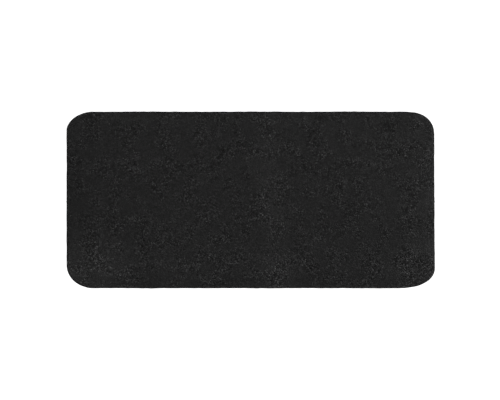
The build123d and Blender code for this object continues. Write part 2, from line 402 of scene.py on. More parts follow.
bulge_at, bulge_by = simulated_bulge()
is_band = bulge_at[:, 1] > Y_SEAM - 0.5
bulge_by = np.where(is_band[:, None], cap(bulge_by, 1.5), cap(bulge_by, 2.1))
bulge_by = np.round(bulge_by, 4)
bulge_tree = kdtree.KDTree(len(bulge_at))
for i, p in enumerate(bulge_at):
    bulge_tree.insert(p, i)
bulge_tree.balance()


def bulge(points):
    """How far the cover stands out at each of these nominal points: the simulation's result, evened out between its points."""
    flat = points.reshape(-1, 3)
    out = np.zeros_like(flat)
    if bulge_at is None:
        face = flat[:, 1] < Y_SEAM - 0.5
        edge = np.minimum(W - np.abs(flat[:, 0]), H - np.abs(flat[:, 2] - CZ))
        out[:, 1] = np.where(face, -2.0 * smooth(edge, 2, 45), 0)
        t = np.clip((flat[:, 1] - Y_STITCH) / (Y_REAR - 4 - Y_STITCH), 0, 1)
        r = flat - np.array([0, 0, CZ])
        r[:, 1] = 0
        r /= np.maximum(np.linalg.norm(r, axis=1), 1e-6)[:, None]
        out += np.where(face, 0, 1.3 * np.sin(math.pi * t))[:, None] * r
        return out.reshape(points.shape)
    for i, p in enumerate(flat):
        near = bulge_tree.find_n(p, 9)
        k = [n[1] for n in near]
        w = np.exp(-np.array([n[2] for n in near]) ** 2 / 24.0)
        out[i] = (bulge_by[k] * w[:, None]).sum(0) / w.sum()
    return out.reshape(points.shape)


# ==============================================================================
# Staples and vents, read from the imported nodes
# ==============================================================================
def islands(node):
    """The separate solids of a node, as arrays of points in millimetres."""
    me = frame["nodes"][node].data
    co = np.array([v.co for v in me.vertices]) / MM
    # points that lie on each other belong together
    key = np.round(co, 3)
    _, same = np.unique(key, axis=0, return_inverse=True)
    same = same.ravel()
    parent = list(range(same.max() + 1))

    def find(a):
        while parent[a] != a:
            parent[a] = parent[parent[a]]
            a = parent[a]
        return a

    for p in me.polygons:
        vs = [same[i] for i in p.vertices]
        for b in vs[1:]:
            ra, rb = find(vs[0]), find(b)
            if ra != rb:
                parent[rb] = ra
    root = np.array([find(a) for a in same])
    return [co[root == r] for r in np.unique(root)]


staple_places = []
for pts in islands("cover_staples"):
    crown = pts[pts[:, 1] > Y_REAR - 0.1][:, [0, 2]]
    mid = (crown.max(0) + crown.min(0)) / 2
    mid = crown.mean(0)
    u, sv, vt = np.linalg.svd(crown - mid)
    half = np.abs((crown - mid) @ vt[0]).max()
    staple_places.append((mid, vt[0], half))
vent_places = [pts.mean(0)[[0, 1]] for pts in islands("vent_eyelets")]


def staple_hold(p):
    """One at a staple's crown, falling to nothing a few millimetres off."""
    out = np.zeros(p.shape[:-1])
    for mid, d, half in staple_places:
        r = p[..., [0, 2]] - mid
        along = r @ d
        off = r - np.clip(along, -half, half)[..., None] * d
        out = np.maximum(out, np.exp(-((off ** 2).sum(-1)) / 2.6 ** 2))
    return out


def vent_hold(p):
    out = np.zeros(p.shape[:-1])
    low = smooth(-(p[..., 2] - CZ), H - 12, H - 4)
    for x, y in vent_places:
        r2 = (p[..., 0] - x) ** 2 + (p[..., 1] - y) ** 2
        out = np.maximum(out, np.exp(-(np.maximum(np.sqrt(r2) - 5.0, 0) / 4.5) ** 2))
    return out * low


# ==============================================================================
# Upholstery: face panel
# ==============================================================================
cols = Columns(270, 67, fine=True)
skin = Skin(cols)
S, AROUND = cols.s, cols.around
corner_runs = {"tr": (13, 0), "tl": (2, 3), "bl": (6, 7), "br": (9, 10)}
# How far round its corner each column is, 0 to 1, or nothing on the straights.
in_corner = {}
for key, (first, second) in corner_runs.items():
    q = np.full(cols.n, np.nan)
    q[cols.seg == first] = 0.5 * cols.share[cols.seg == first]
    q[cols.seg == second] = 0.5 + 0.5 * cols.share[cols.seg == second]
    in_corner[key] = q
cornerness = np.zeros(cols.n)
for q in in_corner.values():
    cornerness = np.maximum(cornerness, np.where(np.isnan(q), 0, np.sin(math.pi * np.nan_to_num(q)) ** 0.6))
for _ in range(10):
    cornerness = (np.roll(cornerness, 1) + cornerness + np.roll(cornerness, -1)) / 3
puckers = (0.25 + 0.75 * cornerness) * (0.6 * wave(S, AROUND, 8.5, 14, 21) + 0.55 * wave(S, AROUND, 15, 10, 22))

n_stitches = int(round(AROUND / STITCH))
PITCH = AROUND / n_stitches
hole_phase = np.abs(((S / PITCH + 0.5) % 1.0) - 0.5) * PITCH       # distance to the nearest needle hole along the outline


def face_relief(p, edge, pucker):
    """How far the face stands out beyond its bulge, from the unevenness of the foam and the pull of the seam."""
    even = 0.10 * field(p, 70, 16, 31) + 0.045 * field(p, 26, 20, 32) + 0.012 * field(p, 9, 20, 33)
    even *= smooth(edge, 0, 16)
    return even + 0.16 * pucker * np.exp(-edge / 7.5) * smooth(edge, -0.5, 3)


patch = skin.patch(FRONT_R, Y_FACE)
rows, ncols = patch.shape[:2]
ids = np.arange(rows * ncols).reshape(rows, ncols)
border = np.array([ids[r, c] for r, c in skin.border()])
flat_patch = patch.reshape(-1, 3)
# distance in from the outline, and the pucker of the nearest column
tree = kdtree.KDTree(cols.n)
front_ring = skin.ring(0, Y_FACE)[0]
for i, p in enumerate(front_ring):
    tree.insert(p, i)
tree.balance()
edge = np.full(len(flat_patch), 60.0)
near_col = np.zeros(len(flat_patch), int)
close = (W - np.abs(flat_patch[:, 0]) < 42) | (H - np.abs(flat_patch[:, 2] - CZ) < 42)
for i in np.nonzero(close)[0]:
    _, j, d = tree.find(flat_patch[i])
    edge[i], near_col[i] = d, j
face_out = flat_patch + bulge(flat_patch)
face_out[:, 1] -= face_relief(flat_patch, edge, puckers[near_col])
inward = np.tile([0.0, 1.0, 0.0], (len(flat_patch), 1))
thick = np.full(len(flat_patch), COVER)

pts, inw, thk, edg = [face_out], [inward], [thick], [edge]
quads = [grid_quads(rows, ncols)[:, ::-1]]
before, count = border, len(face_out)
arc = [(FRONT_R * (1 - math.sin(a)), Y_FACE + FRONT_R * (1 - math.cos(a)), a) for a in np.radians([11, 22, 33, 44, 55, 66, 76, 85])]
half = math.pi / 2
turn = [(0.02, Y_SEAM - 0.10, half), (0.09, Y_SEAM + 0.03, half * 1.3), (0.26, Y_SEAM + 0.11, half * 1.7), (0.55, Y_SEAM + 0.14, half * 2), (0.95, Y_SEAM + 0.14, half * 2), (1.3, Y_SEAM + 0.14, half * 2)]
turn_thick = [0.95, 0.8, 0.62, 0.5, 0.45, 0.45]
for k, (inset, y, a) in enumerate(arc + turn):
    ring, n = skin.ring(inset, y)
    direction = n * math.sin(a) + np.array([0, -math.cos(a), 0])
    near_seam = smooth(np.array(y), Y_FACE, Y_SEAM)
    lift = bulge(ring) * (1 - near_seam)
    e = np.full(cols.n, max(FRONT_R - (FRONT_R - inset), 0))
    rel = 0.16 * puckers * np.exp(-inset / 7.5) * (0.25 + 0.75 * float(smooth(np.array(inset), 0, 3)))
    if k >= len(arc):
        rel = 0.04 * puckers
    pts.append(ring + lift + direction * rel[:, None])
    inw.append(-direction)
    thk.append(np.full(cols.n, COVER if k < len(arc) else turn_thick[k - len(arc)]))
    edg.append(np.full(cols.n, inset - 3 * (y - Y_FACE) / FRONT_R))
    now = count + np.arange(cols.n)
    quads.append(np.stack([before, np.roll(before, -1), np.roll(now, -1), now], 1))
    before, count = now, count + cols.n
v, q = np.concatenate(pts), np.concatenate(quads)


def orient(v, q, first_ring_quad):
    """Both parts of the face panel have to wind the same way."""
    a = q[first_ring_quad]
    out = np.cross(v[a[1]] - v[a[0]], v[a[3]] - v[a[0]])
    want = v[a[0]] - np.array([0, v[a[0]][1] + 3, CZ])
    if out @ want < 0:
        q[first_ring_quad:] = q[first_ring_quad:, ::-1]
    a = q[0]
    if np.cross(v[a[1]] - v[a[0]], v[a[3]] - v[a[0]])[1] > 0:
        q[:first_ring_quad] = q[:first_ring_quad, ::-1]
    return q


q = orient(v, q, len(quads[0]))
edge_all = np.concatenate(edg)
vv, qq = shell(v, q, np.concatenate(inw), np.concatenate(thk))
upholstery_face = make("upholstery_face", vv, qq, {"edge": np.concatenate([edge_all, edge_all])})

# ==============================================================================
# Upholstery: the two side bands, with their turned-in margins
# ==============================================================================
turn_in = [(1.3, Y_SEAM + 0.30, 0.45), (0.95, Y_SEAM + 0.30, 0.45), (0.55, Y_SEAM + 0.31, 0.5), (0.26, Y_SEAM + 0.35, 0.62),
           (0.08, Y_SEAM + 0.46, 0.8), (-0.03, Y_SEAM + 0.66, 0.95)]
roll_ys = [1.0, 1.4, 1.9, 2.4, 2.8, 3.1, 3.4, 3.65, 3.85, 4.0, 4.15, 4.35, 4.6, 4.95, 5.4, 6.0, 6.8]
ys = [Y_SEAM + r * (Y_STITCH - Y_SEAM) / 4.0 for r in roll_ys]
ys += list(np.linspace(ys[-1] + 1.2, Y_REAR - BACK_R, 44))
join_z = skin.front[:, 1]        # height above the join, by column
join_dist = np.where(np.abs(skin.front[:, 0]) > W - 8, np.abs(join_z), 99.0)
join_row_ys = [JOIN_Y0 - 0.6 - k * 4.2 for k in range(int((JOIN_Y0 - JOIN_Y1 - 1.2) / 4.2) + 1)]
ripples = (0.15 + 0.85 * cornerness) * (0.7 * wave(S, AROUND, 13, 12, 41) + 0.5 * wave(S, AROUND, 24, 10, 42))


def band_row(y):
    """A row of the band's surface at depth y: points, outward directions, and how far it stands out there."""
    ring, n = skin.ring(0, y)
    t = (y - Y_STITCH) / (Y_REAR - BACK_R - Y_STITCH)
    lift = bulge(ring)
    out = (lift * n).sum(1)
    along_y = lift[:, 1] * 0.3
    # between its seam and the topstitching the cover rolls over the seam allowance
    if y < Y_STITCH:
        x = (y - Y_SEAM) / (Y_STITCH - Y_SEAM)
        out = out * 0.3 + 0.24 * math.sin(math.pi * min(max(x, 0), 1)) ** 0.8
        out += 0.05 * wave(S, AROUND, 11, 10, 43)
    else:
        x = y - Y_STITCH
        out = out + 0.12 * (1 - math.exp(-x / 1.6)) * math.exp(-x / 22)
        mid = math.sin(math.pi * min(max(t, 0), 1)) ** 0.7
        out += 0.17 * ripples * mid
        out += (0.11 * field(ring, 48, 14, 44) + 0.05 * field(ring, 17, 18, 45)) * mid
        out += 0.10 * puckers * math.exp(-x / 6)
    # the thread draws the cover in along its row, most of all at the needle holes
    off = y - Y_STITCH
    row = math.exp(-(off / 0.85) ** 2)
    out = out * (1 - 0.9 * row) - 0.30 * row
    out -= 0.20 * np.exp(-((off / 0.8) ** 2 + (hole_phase / 0.8) ** 2))
    # the join: both edges turn in, and a row of stitches holds each down
    near = np.exp(-(np.maximum(join_dist - JOIN_ROW, 0) / 6.0) ** 2)
    out = out * (1 - 0.45 * near)
    out += 0.26 * np.where(join_dist < JOIN_ROW, np.sin(math.pi * np.clip(join_dist / JOIN_ROW, 0, 1)) ** 0.8, 0)
    stitched = np.exp(-((join_dist - JOIN_ROW) / 0.7) ** 2)
    if JOIN_Y1 - 1 < y < JOIN_Y0 + 1:
        out -= 0.16 * stitched
        nearest = min(abs(y - k) for k in join_row_ys)
        out -= 0.20 * np.exp(-((join_dist - JOIN_ROW) / 0.8) ** 2 - (nearest / 0.8) ** 2)
    out = out * (1 - vent_hold(ring))
    out -= 1.0 * np.exp(-(join_dist / 0.36) ** 2)
    return ring, n, out, along_y


rings, ring_in, ring_thick, ring_edge = [], [], [], []
edge_thin = 1 - 0.55 * np.exp(-(join_dist / 0.6) ** 2)
for inset, y, t in turn_in:
    ring, n = skin.ring(inset, y)
    back = n * 0.25 + np.array([0, -0.97, 0]) if inset > 0.3 else n * 0.8 + np.array([0, -0.6, 0])
    ring = ring - n * (1.15 * np.exp(-(join_dist / 0.36) ** 2))[:, None] * (0.3 if inset > 0.3 else 0.8)
    rings.append(ring + n * (0.03 * wave(S, AROUND, 11, 10, 43))[:, None])
    ring_in.append(-back)
    ring_thick.append(np.full(cols.n, t) * edge_thin)
    ring_edge.append(np.zeros(cols.n))
for y in ys:
    ring, n, out, dy = band_row(y)
    p = ring + n * out[:, None]
    p[:, 1] += dy * (1 - vent_hold(ring)) * smooth(np.array(y), Y_STITCH, Y_STITCH + 10) * (1 - smooth(np.array(y), Y_REAR - 14, Y_REAR - 4))
    rings.append(p)
    ring_in.append(-n)
    ring_thick.append(COVER * edge_thin)
    ring_edge.append(np.full(cols.n, min(y - Y_SEAM, Y_REAR - y)))
last_out = band_row(ys[-1])[2]
# round the board's back edge
for a in np.radians([15, 32, 49, 66, 80]):
    inset, y = BACK_R * (1 - math.cos(a)), Y_REAR - BACK_R + BACK_R * math.sin(a)
    ring, n = skin.ring(inset, y)
    direction = n * math.cos(a) + np.array([0, math.sin(a), 0])
    fade = float(np.cos(a))
    ripple = 0.07 * ripples * math.sin(2 * a)
    rings.append(ring + direction * (np.maximum(last_out, -1.15) * fade + ripple)[:, None])
    ring_in.append(-direction)
    ring_thick.append(COVER * edge_thin)
    ring_edge.append(np.full(cols.n, 0.5))
# the margin, drawn in over the board, pleated round the corners and held by the staples
start, _ = skin.ring(BACK_R, Y_REAR)
end = np.stack([skin.opening[:, 0], np.full(cols.n, Y_REAR), skin.opening[:, 1] + CZ], 1)
PLEAT_AT = (W - 44.0, H - 44.0)      # each corner's pleats fan out from here


def pleats(p):
    """Folds laid over each other round the corners, tallest beside the opening."""
    out = np.zeros(p.shape[:-1])
    dx, dz = np.abs(p[..., 0]) - PLEAT_AT[0], np.abs(p[..., 2] - CZ) - PLEAT_AT[1]
    angle, far = np.degrees(np.arctan2(dz, dx)), np.hypot(dx, dz)
    tall = 1 - smooth(far, 20, 50)
    for k, (sx, sz) in enumerate(((1, 1), (-1, 1), (-1, -1), (1, -1))):
        r = np.random.default_rng(60 + k)
        here = (p[..., 0] * sx > 0) & ((p[..., 2] - CZ) * sz > 0) & (dx > 0) & (dz > -12)
        cuts = np.array([-12.0, 7, 26, 45, 64, 83, 102]) + r.uniform(-3.5, 3.5, 7)
        for i, (a, b) in enumerate(zip(cuts[:-1], cuts[1:])):
            f = (angle - a) / (b - a)
            if i >= 3:           # the folds lie towards the diagonal from both sides
                f = 1 - f
            on = here & (f >= 0) & (f <= 1)
            up = smooth(f, 0.0, 0.8) * (1 - smooth(f, 0.9, 1.0)) * r.uniform(1.3, 1.9)
            out[on] = (up * tall)[on]
    return out


for w in np.linspace(0, 1, 19)[0:]:
    p = (1 - w) * start + w * end
    tight = float(smooth(np.array(w), 0.0, 0.3))
    puff = 0.30 + 0.16 * field(p, 22, 14, 51) + 0.07 * field(p, 8, 14, 52)
    puff = np.maximum(puff, 0.02) * (0.15 + 0.85 * tight)
    pull = 0.10 * wave(S, AROUND, 9, 12, 53) * (1 - abs(2 * w - 1))
    rise = puff + np.maximum(pull, -0.1) + pleats(p) * float(smooth(np.array(w), 0.0, 0.25))
    rise *= 1 - staple_hold(p)
    rise = np.maximum(rise, 0.0)
    rise -= 0.9 * np.exp(-(join_dist / 0.36) ** 2) * (0.6 if w < 0.99 else 0.3)
    p[:, 1] += rise
    rings.append(p)
    ring_in.append(np.tile([0.0, -1.0, 0.0], (cols.n, 1)))
    ring_thick.append(COVER * edge_thin * (1 - 0.85 * np.exp(-(join_dist / 0.5) ** 2) * 0.5))
    ring_edge.append(np.full(cols.n, 0.5 + 12 * (1 - w)))
R = np.stack(rings)
RIN, RTH, REDGE = np.stack(ring_in), np.stack(ring_thick), np.stack(ring_edge)
n_rows = R.shape[0]


def band(name, first, last, above):
    """One band, over the columns from first to last, going round the outline."""
    k = np.arange(first, last + 1) % cols.n
    v = R[:, k].reshape(-1, 3).copy()
    th, inw, ed = RTH[:, k].ravel(), RIN[:, k].reshape(-1, 3), REDGE[:, k].ravel()
    m = len(k)
    # both ends all but meet at the join
    g = v.reshape(n_rows, m, 3)
    for j in (0, m - 1):
        g[:, j, 2] += 0.012 if above else -0.012
    v = g.reshape(-1, 3)
    q = grid_quads(n_rows, m)
    centre = v[q].mean(1)
    keep = np.ones(len(q), bool)
    for x, y in vent_places:
        if not above:
            d = np.hypot(centre[:, 0] - x, centre[:, 1] - y)
            keep &= ~((d < 2.9) & (centre[:, 2] < CZ - H + 8) & (centre[:, 1] < Y_REAR - 8))
    q = q[keep]
    if not above:
        used = np.zeros(len(v), int)
        np.add.at(used, q.ravel(), 1)
        for x, y in vent_places:
            d = np.hypot(v[:, 0] - x, v[:, 1] - y)
            rim = (used > 0) & (used < 4) & (d < 5.2) & (v[:, 2] < CZ - H + 8)
            v[rim, 0] = x + (v[rim, 0] - x) * 3.05 / d[rim]
            v[rim, 1] = y + (v[rim, 1] - y) * 3.05 / d[rim]
    v, q, (th, inw, ed) = compact(v, q, [th, inw, ed])
    a = q[len(q) // 2]
    vv, qq = shell(v, q, inw, th)
    return make(name, vv, qq, {"edge": np.concatenate([ed, ed])})


upholstery_band_upper = band("upholstery_band_upper", cols.right_join, cols.n + cols.left_join, True)
upholstery_band_lower = band("upholstery_band_lower", cols.left_join, cols.right_join, False)


# ==============================================================================
# Topstitching, one short run of thread for each stitch
# ==============================================================================
def stitches(name, curve_at, spans, normal_at, across, lean):
    """spans are (from, to) along the row. curve_at and normal_at give the cover's surface and outward direction there."""
    steps, sides = 9, 8
    tau = np.linspace(0, 1, steps)
    ang = np.linspace(0, 2 * math.pi, sides, endpoint=False)
    v_all, q_all, lay_all, count = [], [], [], 0
    r = np.random.default_rng(71)
    for a, b in spans:
        s = a + (b - a) * tau
        base, n = curve_at(s), normal_at(s)
        side = np.array(across(s))
        h = -0.42 + 0.60 * (1 - np.abs(2 * tau - 1) ** 5)
        slant = lean * (tau - 0.5) + r.normal(0, 0.035)
        path = base + n * h[:, None] + side * slant[:, None]
        t = np.gradient(path, axis=0)
        t /= np.linalg.norm(t, axis=1)[:, None]
        bi = np.cross(t, side)
        bi /= np.linalg.norm(bi, axis=1)[:, None]
        sd = np.cross(bi, t)
        rad = THREAD_R * (0.82 + 0.18 * np.sin(math.pi * tau) ** 0.5) * (1 + r.normal(0, 0.02))
        ring = path[:, None] + rad[:, None, None] * (np.cos(ang)[None, :, None] * sd[:, None] * 1.12 + np.sin(ang)[None, :, None] * bi[:, None] * 0.9)
        v_all.append(ring.reshape(-1, 3))
        q_all.append(grid_quads(steps, sides, count, wrap=True))
        run = np.linspace(0, (b - a), steps) + a
        lay = np.stack([np.repeat(run, sides), np.tile(ang, steps), np.zeros(steps * sides)], 1)
        lay_all.append(lay)
        # ends, each closed by two quads across the ring of eight
        for first in (count, count + (steps - 1) * sides):
            i = first + np.arange(sides)
            cap_q = np.array([[i[0], i[1], i[2], i[3]], [i[0], i[3], i[4], i[7]], [i[4], i[5], i[6], i[7]]])
            q_all.append(cap_q[:, ::-1] if first == count else cap_q)
        count += steps * sides
    v, q = np.concatenate(v_all), np.concatenate(q_all)
    if volume(v, q) < 0:
        q = q[:, ::-1]
    return make(name, v, q, {"lay": np.concatenate(lay_all)})


stitch_row = len(turn_in) + int(np.argmin([abs(y - Y_STITCH) for y in ys]))
loop = np.vstack([R[stitch_row], R[stitch_row][:1]])
loop_s = np.append(S, AROUND)
loop_n = skin.ring(0, Y_STITCH)[1]
loop_n = np.vstack([loop_n, loop_n[:1]])
hold = 0.16        # how far above the drawn-in row the thread's own line lies


def ring_at(s):
    s = s % AROUND
    p = np.stack([np.interp(s, loop_s, loop[:, i]) for i in range(3)], 1)
    return p + ring_normal(s) * hold


def ring_normal(s):
    s = s % AROUND
    n = np.stack([np.interp(s, loop_s, loop_n[:, i]) for i in range(3)], 1)
    return n / np.linalg.norm(n, axis=1)[:, None]


spans = [(k * PITCH + 0.42, (k + 1) * PITCH - 0.42) for k in range(n_stitches)]
topstitch = stitches("topstitch_perimeter", ring_at, spans, ring_normal, lambda s: np.tile([0.0, 1.0, 0.0], (len(s), 1)), 0.22)


def join_stitches(name, side):
    """Two rows on one side, one above and one below the join."""
    pieces_v, pieces_q, pieces_l, count = [], [], [], 0
    mid = cols.left_join if side < 0 else cols.right_join
    made = []
    for up in (1, -1):
        step = FINE.index(JOIN_ROW)
        col = mid + (-step if (side < 0) == (up > 0) else step)
        col %= cols.n
        rows_here = slice(len(turn_in), len(turn_in) + len(ys))
        line = R[rows_here, col]
        order = np.argsort(line[:, 1])
        line = line[order]

        def at(y, line=line):
            p = np.stack([np.interp(y, line[:, 1], line[:, 0]), y, np.interp(y, line[:, 1], line[:, 2])], 1)
            p[:, 0] += side * hold
            return p

        holes = join_row_ys
        spans = [(holes[k + 1] + 0.4, holes[k] - 0.4) for k in range(len(holes) - 1)]
        ob = stitches(f"{name}_{'u' if up > 0 else 'l'}", at, spans, lambda s: np.tile([float(side), 0.0, 0.0], (len(s), 1)),
                      lambda s: np.tile([0.0, 0.0, 1.0], (len(s), 1)), 0.2)
        made.append(ob)
    bpy.ops.object.select_all(action="DESELECT")
    for o in made:
        o.select_set(True)
    bpy.context.view_layer.objects.active = made[0]
    bpy.ops.object.join()
    made[0].name = name
    made[0].data.name = name
    return made[0]


topstitch_left = join_stitches("topstitch_join_left", -1)
topstitch_right = join_stitches("topstitch_join_right", 1)

# ==============================================================================
# Foam layers
# ==============================================================================
foam_cols = Columns(80, 20, fine=False)
foam_skin = Skin(foam_cols)


def foam(name, node, inset, front_r, seed, grain):
    """A cut foam slab, softly rounded where the cover pulls over it, with its faces slightly uneven."""
    lo, hi = span(node)
    y0, y1 = hi[1], lo[1]          # back and front
    prof = [(inset + front_r * (1 - math.sin(a)), y1 + front_r * (1 - math.cos(a))) for a in np.radians([18, 36, 54, 72, 90])]
    prof += [(inset, y) for y in np.linspace(y1 + front_r + 1.5, y0 - 0.8, 6)]
    prof += [(inset + 0.25, y0 - 0.25), (inset + 0.8, y0)]
    front_patch = foam_skin.patch(inset + front_r, y1)
    back_patch = foam_skin.patch(inset + 0.8, y0)
    uneven = 0.05
    r, c = front_patch.shape[:2]
    ids = np.arange(r * c).reshape(r, c)
    b = np.array([ids[i, j] for i, j in foam_skin.border()])
    v, q = [front_patch.reshape(-1, 3)], [grid_quads(r, c)[:, ::-1]]
    before, count = b, r * c
    for k, (ins, y) in enumerate(prof[:-1]):
        ring, n = foam_skin.ring(ins, y)
        ring = ring - n * np.abs(uneven * field(ring, 9, 12, seed))[:, None]
        v.append(ring)
        now = count + np.arange(foam_cols.n)
        q.append(np.stack([before, np.roll(before, -1), np.roll(now, -1), now], 1))
        before, count = now, count + foam_cols.n
    rings_q = np.concatenate(q[1:])
    v.append(back_patch.reshape(-1, 3))
    bb = b + count
    last = np.stack([before, np.roll(before, -1), np.roll(bb, -1), bb], 1)
    back_q = grid_quads(r, c, count)
    v = np.concatenate(v)
    v[:r * c, 1] += np.abs(uneven * field(v[:r * c], 12, 14, seed + 1))
    ring_part = np.concatenate([rings_q, last])
    a = ring_part[3]
    out = np.cross(v[a[1]] - v[a[0]], v[a[3]] - v[a[0]])
    if out @ (v[a[0]] - np.array([0, v[a[0]][1] + 3, CZ])) < 0:
        ring_part = ring_part[:, ::-1]

    def facing(quads, sign):
        a = quads[len(quads) // 2]
        n = np.cross(v[a[1]] - v[a[0]], v[a[3]] - v[a[0]])[1]
        return quads if n * sign > 0 else quads[:, ::-1]

    qq = np.concatenate([facing(q[0], -1), ring_part, facing(back_q, 1)])
    return make(name, v, qq)


soft_layer = foam("comfort_foam_layer", "foam_face_soft", 1.85, 2.6, 81, 0.5)
core_layer = foam("core_foam_layer", "foam_core_rebond", 1.2, 0.6, 82, 1.0)
base_layer = foam("base_foam_layer", "foam_base_firm", 1.2, 0.6, 83, 0.3)


# ==============================================================================
# Materials
# ==============================================================================
class Nodes:
    """A small hand for building a material's node tree."""

    def __init__(self, name, **sockets):
        self.m = bpy.data.materials.new(name)
        self.m.use_nodes = True
        self.nt = self.m.node_tree
        self.bsdf = next(n for n in self.nt.nodes if n.type == "BSDF_PRINCIPLED")
        for k, v in sockets.items():
            self.bsdf.inputs[k.replace("_", " ")].default_value = v
        self.coord = self.nt.nodes.new("ShaderNodeTexCoord")
        self.obj = self.coord.outputs["Object"]

    def put(self, socket, value):
        if hasattr(value, "is_linked"):
            self.nt.links.new(value, socket)
        elif value is not None:
            socket.default_value = value

    def node(self, kind, out=0, props=None, **inputs):
        n = self.nt.nodes.new(kind)
        for k, v in (props or {}).items():
            setattr(n, k, v)
        for k, v in inputs.items():
            key = int(k[1:]) if k[0] == "i" and k[1:].isdigit() else k.replace("_", " ")
            self.put(n.inputs[key], v)
        return n.outputs[out]

    def math(self, op, a, b=None, c=None, clamp=False):
        n = self.nt.nodes.new("ShaderNodeMath")
        n.operation, n.use_clamp = op, clamp
        for i, x in enumerate((a, b, c)):
            if x is not None:
                self.put(n.inputs[i], x)
        return n.outputs[0]

    def scaled(self, vector, scale, location=(0, 0, 0)):
        n = self.nt.nodes.new("ShaderNodeMapping")
        self.put(n.inputs["Vector"], vector)
        n.inputs["Scale"].default_value = scale
        n.inputs["Location"].default_value = location
        return n.outputs[0]

    def noise(self, scale, detail=2.0, rough=0.5, vector=None, distort=0.0, out="Fac"):
        return self.node("ShaderNodeTexNoise", out, None, Vector=vector or self.obj, Scale=scale, Detail=detail, Roughness=rough, Distortion=distort)

    def cells(self, scale, feature="F1", vector=None, out="Distance", randomness=1.0, smoothness=None):
        n = self.nt.nodes.new("ShaderNodeTexVoronoi")
        n.feature = feature
        self.put(n.inputs["Vector"], vector or self.obj)
        n.inputs["Scale"].default_value = scale
        n.inputs["Randomness"].default_value = randomness
        if smoothness is not None:
            n.inputs["Smoothness"].default_value = smoothness
        return n.outputs[out]

    def remap(self, value, a, b, c, d, smoothly=False):
        n = self.nt.nodes.new("ShaderNodeMapRange")
        if smoothly:
            n.interpolation_type = "SMOOTHSTEP"
        self.put(n.inputs["Value"], value)
        for k, x in zip(("From Min", "From Max", "To Min", "To Max"), (a, b, c, d)):
            self.put(n.inputs[k], x)
        return n.outputs[0]

    def mix(self, fac, a, b, blend="MIX"):
        n = self.nt.nodes.new("ShaderNodeMix")
        n.data_type, n.blend_type = "RGBA", blend
        self.put(n.inputs["Factor"], fac)
        cs = [i for i in n.inputs if i.type == "RGBA"]
        for s, x in zip(cs, (a, b)):
            self.put(s, (*x, 1.0) if isinstance(x, tuple) and len(x) == 3 else x)
        return next(o for o in n.outputs if o.type == "RGBA")

    def jitter(self, scale, amount, vector=None):
        """The place, pushed about by noise, so that patterns made from it aren't straight."""
        vector = vector or self.obj
        n = self.nt.nodes.new("ShaderNodeTexNoise")
        self.put(n.inputs["Vector"], vector)
        n.inputs["Scale"].default_value, n.inputs["Detail"].default_value = scale, 1.0
        off = self.node("ShaderNodeVectorMath", 0, {"operation": "SUBTRACT"}, i0=n.outputs["Color"], i1=(0.5, 0.5, 0.5))
        sc = self.nt.nodes.new("ShaderNodeVectorMath")
        sc.operation = "SCALE"
        self.put(sc.inputs[0], off)
        sc.inputs["Scale"].default_value = amount
        return self.node("ShaderNodeVectorMath", 0, {"operation": "ADD"}, i0=vector, i1=sc.outputs[0])

    def attribute(self, name, out="Fac"):
        n = self.nt.nodes.new("ShaderNodeAttribute")
        n.attribute_name = name
        return n.outputs[out]

    def split(self, vector):
        n = self.nt.nodes.new("ShaderNodeSeparateXYZ")
        self.put(n.inputs[0], vector)
        return n.outputs

    def bump(self, height, distance, strength=1.0, normal=None):
        n = self.nt.nodes.new("ShaderNodeBump")
        n.inputs["Strength"].default_value = strength
        n.inputs["Distance"].default_value = distance
        self.put(n.inputs["Height"], height)
        if normal is not None:
            self.put(n.inputs["Normal"], normal)
        return n.outputs[0]

    def done(self, color=None, rough=None, normal=None):
        if color is not None:
            self.put(self.bsdf.inputs["Base Color"], color)
        if rough is not None:
            self.put(self.bsdf.inputs["Roughness"], rough)
        if normal is not None:
            self.put(self.bsdf.inputs["Normal"], normal)
        return self.m


